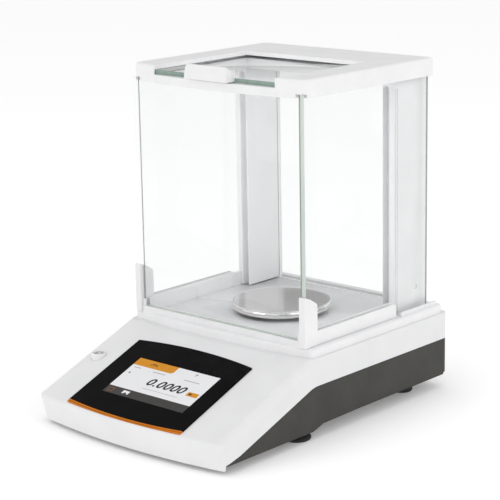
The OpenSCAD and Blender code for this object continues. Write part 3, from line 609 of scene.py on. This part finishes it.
class BALANCE_OT_display(bpy.types.Operator):
    """Lays the lit screen on the cover glass, layer by layer"""
    bl_idname = "balance.display"
    bl_label = "Display"

    def execute(self, context):
        sizes, colours = context.scene.balance_sizes, context.scene.balance_colours
        module = frame["nodes"]["display_module"].data
        normal = max(module.polygons, key=lambda p: p.area).normal.copy()
        if normal.z < 0:
            normal.negate()
        up = normal.cross(Vector((1, 0, 0)))
        top = max(v.co.dot(normal) for v in module.vertices)
        face = [v.co for v in module.vertices if v.co.dot(normal) > top - 0.01 * MM]
        middle = sum(face, Vector()) / len(face)
        glass = frame["nodes"]["display_glass"].data
        lift = max(v.co.dot(normal) for v in glass.vertices) - top
        origin = middle + normal * lift
        turn = Matrix((Vector((1, 0, 0)), up, normal)).transposed().to_4x4()
        place = Matrix.Translation(origin) @ turn

        def laid(name, bm, level, material):
            """Lays a flat outline on the glass, at a layer above it."""
            step = sizes.print_depth
            raised = bmesh.ops.extrude_face_region(bm, geom=bm.faces[:])["geom"]
            lifted = [v for v in raised if isinstance(v, bmesh.types.BMVert)]
            bmesh.ops.translate(bm, vec=(0, 0, step), verts=lifted)
            bmesh.ops.translate(bm, vec=(0, 0, step * (level + 0.2)), verts=bm.verts)
            bmesh.ops.recalc_face_normals(bm, faces=bm.faces)
            bmesh.ops.transform(bm, matrix=place, verts=bm.verts)
            return piece(name, bm, [material], "display_glass")

        def outline(points):
            """One flat face through (x, y) points in mm."""
            bm = bmesh.new()
            bm.faces.new([bm.verts.new((x * MM, y * MM, 0)) for x, y in points])
            return bm

        def rectangle(x0, y0, x1, y1):
            return outline([(x0, y0), (x1, y0), (x1, y1), (x0, y1)])

        white = lit("screen_lit_white", colours.screen)
        orange = lit("screen_lit_orange", colours.tab, 0.06)
        dark = lit("screen_lit_bar", colours.bar, 0.04)
        ink = lit("screen_lit_digits", colours.digits, 0.0)
        pale = lit("screen_lit_grey", "8d8f94", 0.04)
        left, right, low, high, bar = -45, 50, -26.5, 24, -17
        laid("screen_page", rectangle(left, bar, right, high), 0, white)
        laid("screen_bar", rectangle(left, low, right, bar), 0, dark)
        laid("screen_tab", outline([(left, 14.4), (0, 14.4), (2, 16.4), (2, high), (left, high)]),
             1, orange)
        laid("screen_unit", rectangle(35.4, -6.2, 47.6, -1), 1, orange)
        laid("screen_unit_mark", rectangle(37.4, -4.6, 40.4, -2.6), 2, ink)
        # plain rows that stand for small print
        rows = [(-18, 10.6, -3, 11.2), (-41, 11, -33, 11.6), (19, 10.8, 37, 11.4),
                (-12, -11.2, 30, -10.9), (-40.4, 2.2, -38.4, 4.2)]
        for i, row in enumerate(rows):
            laid(f"screen_row_{i + 1}", rectangle(*row), 1, pale)
        # a two-pan beam balance as the tab's sign
        sign = [(-27, 19.6, -20, 20.2), (-23.8, 17.4, -23.2, 21.4), (-28, 18, -25.4, 18.7),
                (-21.6, 18, -19, 18.7)]
        for i, bar_part in enumerate(sign):
            laid(f"screen_sign_{i + 1}", rectangle(*bar_part), 2, ink)
        grey_sign = [(24, 20.4, 27.6, 21), (25.5, 18, 26.1, 22)]
        for i, bar_part in enumerate(grey_sign):
            laid(f"screen_grey_sign_{i + 1}", rectangle(*bar_part), 1, pale)
        # keys on the bar
        laid("screen_key_frame", rectangle(-41.6, -24.6, -35.6, -19.4), 1,
             lit("screen_lit_key", "8e5a36", 0.05))
        laid("screen_key", rectangle(-40.9, -23.9, -36.3, -20.1), 2, dark)
        laid("screen_sheet", rectangle(-25, -23.4, -17.4, -19.2), 1, white)
        laid("screen_sheet_mark", outline([(-23.6, -23.4), (-18.8, -23.4), (-21.2, -21.4)]), 2,
             dark)
        # the reading, in slanted bold digits
        curve = bpy.data.curves.new("reading", "FONT")
        curve.body = "0.0000"
        curve.size = sizes.digit_height
        curve.shear = 0.28
        curve.offset = 0.0002
        curve.space_character = 1.08
        text = bpy.data.objects.new("reading", curve)
        flat = bpy.data.meshes.new_from_object(text)
        bm = bmesh.new()
        bm.from_mesh(flat)
        xs = [v.co.x for v in bm.verts]
        ys = [v.co.y for v in bm.verts]
        shift = (-(min(xs) + max(xs)) / 2, -(min(ys) + max(ys)) / 2, 0)
        bmesh.ops.translate(bm, vec=shift, verts=bm.verts)
        fitted = (sizes.digit_width / (max(xs) - min(xs)),
                  sizes.digit_height / (max(ys) - min(ys)), 1)
        bmesh.ops.scale(bm, vec=fitted, verts=bm.verts)
        bmesh.ops.translate(bm, vec=(10 * MM, -1.5 * MM, 0), verts=bm.verts)
        laid("screen_digits", bm, 1, ink)
        bpy.data.objects.remove(text)
        bpy.data.curves.remove(curve)
        bpy.data.meshes.remove(flat)
        return {"FINISHED"}


class BALANCE_OT_level(bpy.types.Operator):
    """Spins the bubble level: ring, domed vial, circle and bubble"""
    bl_idname = "balance.level"
    bl_label = "Bubble level"

    def execute(self, context):
        low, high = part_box("level_bezel")
        radius, top, bottom = (high.x - low.x) / 2 / MM, high.z / MM, low.z / MM
        centre = Vector(((low.x + high.x) / 2, (low.y + high.y) / 2, 0))
        wall = radius - (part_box("level_vial")[1].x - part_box("level_vial")[0].x) / 2 / MM
        outer_round, inner_round, seat = 0.8, 0.35, 2
        ring = [(0, bottom), (radius, bottom), (radius, top - outer_round)]
        ring += arc(radius - outer_round, top - outer_round, outer_round, 0, 90, 6)
        ring += arc(radius - wall + inner_round, top - inner_round, inner_round, 90, 180, 4)
        ring += [(radius - wall, bottom + seat), (0, bottom + seat)]
        piece("level_ring", turned(ring, centre, 64), [frame_abs()], "level_bezel",
              ("level_bezel",))
        low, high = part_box("level_vial")
        inner, crown, base = (high.x - low.x) / 2 / MM, high.z / MM, low.z / MM
        rise, bubble_r, mark_in, mark_out = 1.2, 1.7, 2.5, 2.8
        dome = [(0, base), (inner, base), (inner, crown - rise)]
        for step in range(15, 91, 15):
            angle = math.radians(step)
            dome.append((inner * math.cos(angle), crown - rise + rise * math.sin(angle)))
        piece("level_dome", turned(dome, centre, 48), [vial_glass()], "level_vial",
              ("level_vial",))
        bubble = []
        for step in range(-90, 91, 30):
            angle = math.radians(step)
            bubble.append((bubble_r * math.cos(angle), crown + 0.1 * math.sin(angle)))
        piece("level_bubble", turned(bubble, centre + Vector((0.6, 0.3, 0)) * MM, 32),
              [bubble_air()], "level_vial")
        mark = [(mark_in, crown - 0.3), (mark_out, crown - 0.3), (mark_out, crown),
                (mark_in, crown), (mark_in, crown - 0.3)]
        piece("level_circle", turned(mark, centre, 48), [edge_grey()], "level_vial")
        return {"FINISHED"}


class BALANCE_OT_stage(bpy.types.Operator):
    """Sets the pale floor, the soft lights and the camera"""
    bl_idname = "balance.stage"
    bl_label = "Stage"

    def execute(self, context):
        scene = context.scene
        bm = bmesh.new()
        bmesh.ops.create_grid(bm, x_segments=1, y_segments=1, size=6.0)
        mesh = bpy.data.meshes.new("studio_floor")
        bm.to_mesh(mesh)
        bm.free()
        floor = bpy.data.objects.new("studio_floor", mesh)
        scene.collection.objects.link(floor)
        material, tree, output = blank("paper_backdrop")[:3]
        body = add(tree, "ShaderNodeBsdfPrincipled",
                   {"Roughness": 0.9, "Base Color": (*scene.balance_colours.floor, 1),
                    "Emission Color": (1, 1, 1, 1), "Emission Strength": 0.16})
        tree.links.new(body.outputs["BSDF"], output.inputs["Surface"])
        mesh.materials.append(material)

        world = bpy.data.worlds.new("studio_white")
        world.use_nodes = True
        sky = world.node_tree
        towards = add(sky, "ShaderNodeTexCoord").outputs["Generated"]
        height = add(sky, "ShaderNodeSeparateXYZ", links={0: towards}).outputs["Z"]
        strength = add(sky, "ShaderNodeMapRange", {"From Max": 1.0, "To Min": 1.02, "To Max": 0.76},
                       {"Value": height}).outputs[0]
        # grey cards low down, one behind the balance and one by the camera, for the pan to mirror
        cards = (((-0.66, 0.71, 0.26), 15, 0.42), ((0.66, -0.74, 0.12), 12, 0.4))
        for card, wide, shade in cards:
            near = add(sky, "ShaderNodeVectorMath", {1: card}, {0: towards},
                       operation="DOT_PRODUCT")
            mask = add(sky, "ShaderNodeMapRange", {
                "From Min": math.cos(math.radians(wide)),
                "From Max": math.cos(math.radians(wide / 2)),
                "To Min": 1.0, "To Max": shade}, {"Value": near.outputs["Value"]},
                interpolation_type="SMOOTHSTEP")
            strength = add(sky, "ShaderNodeMath", links={0: strength, 1: mask.outputs[0]},
                           operation="MULTIPLY").outputs[0]
        background = sky.nodes["Background"]
        background.inputs["Color"].default_value = (1, 1, 1, 1)
        sky.links.new(strength, background.inputs["Strength"])
        scene.world = world

        def softbox(name, at, size, power):
            """A square area light that faces the balance."""
            light = bpy.data.lights.new(name, "AREA")
            light.size = size
            light.energy = power
            lamp = bpy.data.objects.new(name, light)
            lamp.location = at
            aim = Vector((0, 0, 0.12)) - Vector(at)
            lamp.rotation_euler = aim.to_track_quat("-Z", "Y").to_euler()
            scene.collection.objects.link(lamp)
            return lamp

        softbox("key_softbox", (-1.0, -0.9, 1.7), 1.1, 1.2)
        softbox("side_softbox", (1.5, -0.2, 0.9), 1.0, 2.6)
        softbox("front_softbox", (-0.5, -2.0, 0.7), 1.2, 3)
        # a weak fill in the chamber, aimed at the columns, which no mirror surface shows
        fill = softbox("chamber_fill", (0.0, -0.025, 0.19), 0.14, 0.05)
        fill.rotation_euler = (math.radians(90), 0, 0)
        fill.visible_camera = fill.visible_glossy = fill.visible_transmission = False
        softbox("top_softbox", (0.2, 0.5, 1.9), 1.2, 2.4)

        azimuth, elevation, roll = (math.radians(a) for a in (41.974, 13.555, -1.027))
        distance = 1.5433
        target = Vector((5.11, 3.5, 143.91)) * MM
        back = Vector((math.sin(azimuth) * math.cos(elevation),
                       -math.cos(azimuth) * math.cos(elevation), math.sin(elevation)))
        side = Vector((math.cos(azimuth), math.sin(azimuth), 0))
        rise = side.cross(-back)
        across = side * math.cos(roll) + rise * math.sin(roll)
        upward = rise * math.cos(roll) - side * math.sin(roll)
        camera = bpy.data.cameras.new("camera")
        camera.sensor_width = 36
        camera.lens = 125.94
        view = bpy.data.objects.new("camera", camera)
        turn = Matrix((across, upward, back)).transposed().to_4x4()
        view.matrix_world = Matrix.Translation(target + back * distance) @ turn
        scene.collection.objects.link(view)
        scene.camera = view
        scene.view_settings.view_transform = "Standard"
        return {"FINISHED"}


class BALANCE_PT_panel(bpy.types.Panel):
    """Sizes, colours and the steps that build the looks"""
    bl_idname = "BALANCE_PT_panel"
    bl_label = "Analytical balance"
    bl_space_type = "VIEW_3D"
    bl_region_type = "UI"
    bl_category = "Balance"

    def draw(self, context):
        for group in (context.scene.balance_sizes, context.scene.balance_colours):
            for name in group.__annotations__:
                self.layout.prop(group, name)
        for operator in OPERATORS:
            self.layout.operator(operator.bl_idname)


OPERATORS = (BALANCE_OT_stage, BALANCE_OT_finishes, BALANCE_OT_mouldings, BALANCE_OT_panes,
             BALANCE_OT_pan, BALANCE_OT_strip, BALANCE_OT_display, BALANCE_OT_level)
CLASSES = (BalanceSizes, BalanceColours, *OPERATORS, BALANCE_PT_panel)


def register():
    for item in CLASSES:
        bpy.utils.register_class(item)
    bpy.types.Scene.balance_sizes = PointerProperty(type=BalanceSizes)
    bpy.types.Scene.balance_colours = PointerProperty(type=BalanceColours)


def unregister():
    del bpy.types.Scene.balance_colours
    del bpy.types.Scene.balance_sizes
    for item in reversed(CLASSES):
        bpy.utils.unregister_class(item)


def main():
    register()
    for operator in OPERATORS:
        group, name = operator.bl_idname.split(".")
        getattr(getattr(bpy.ops, group), name)()


if __name__ == "__main__":
    main()
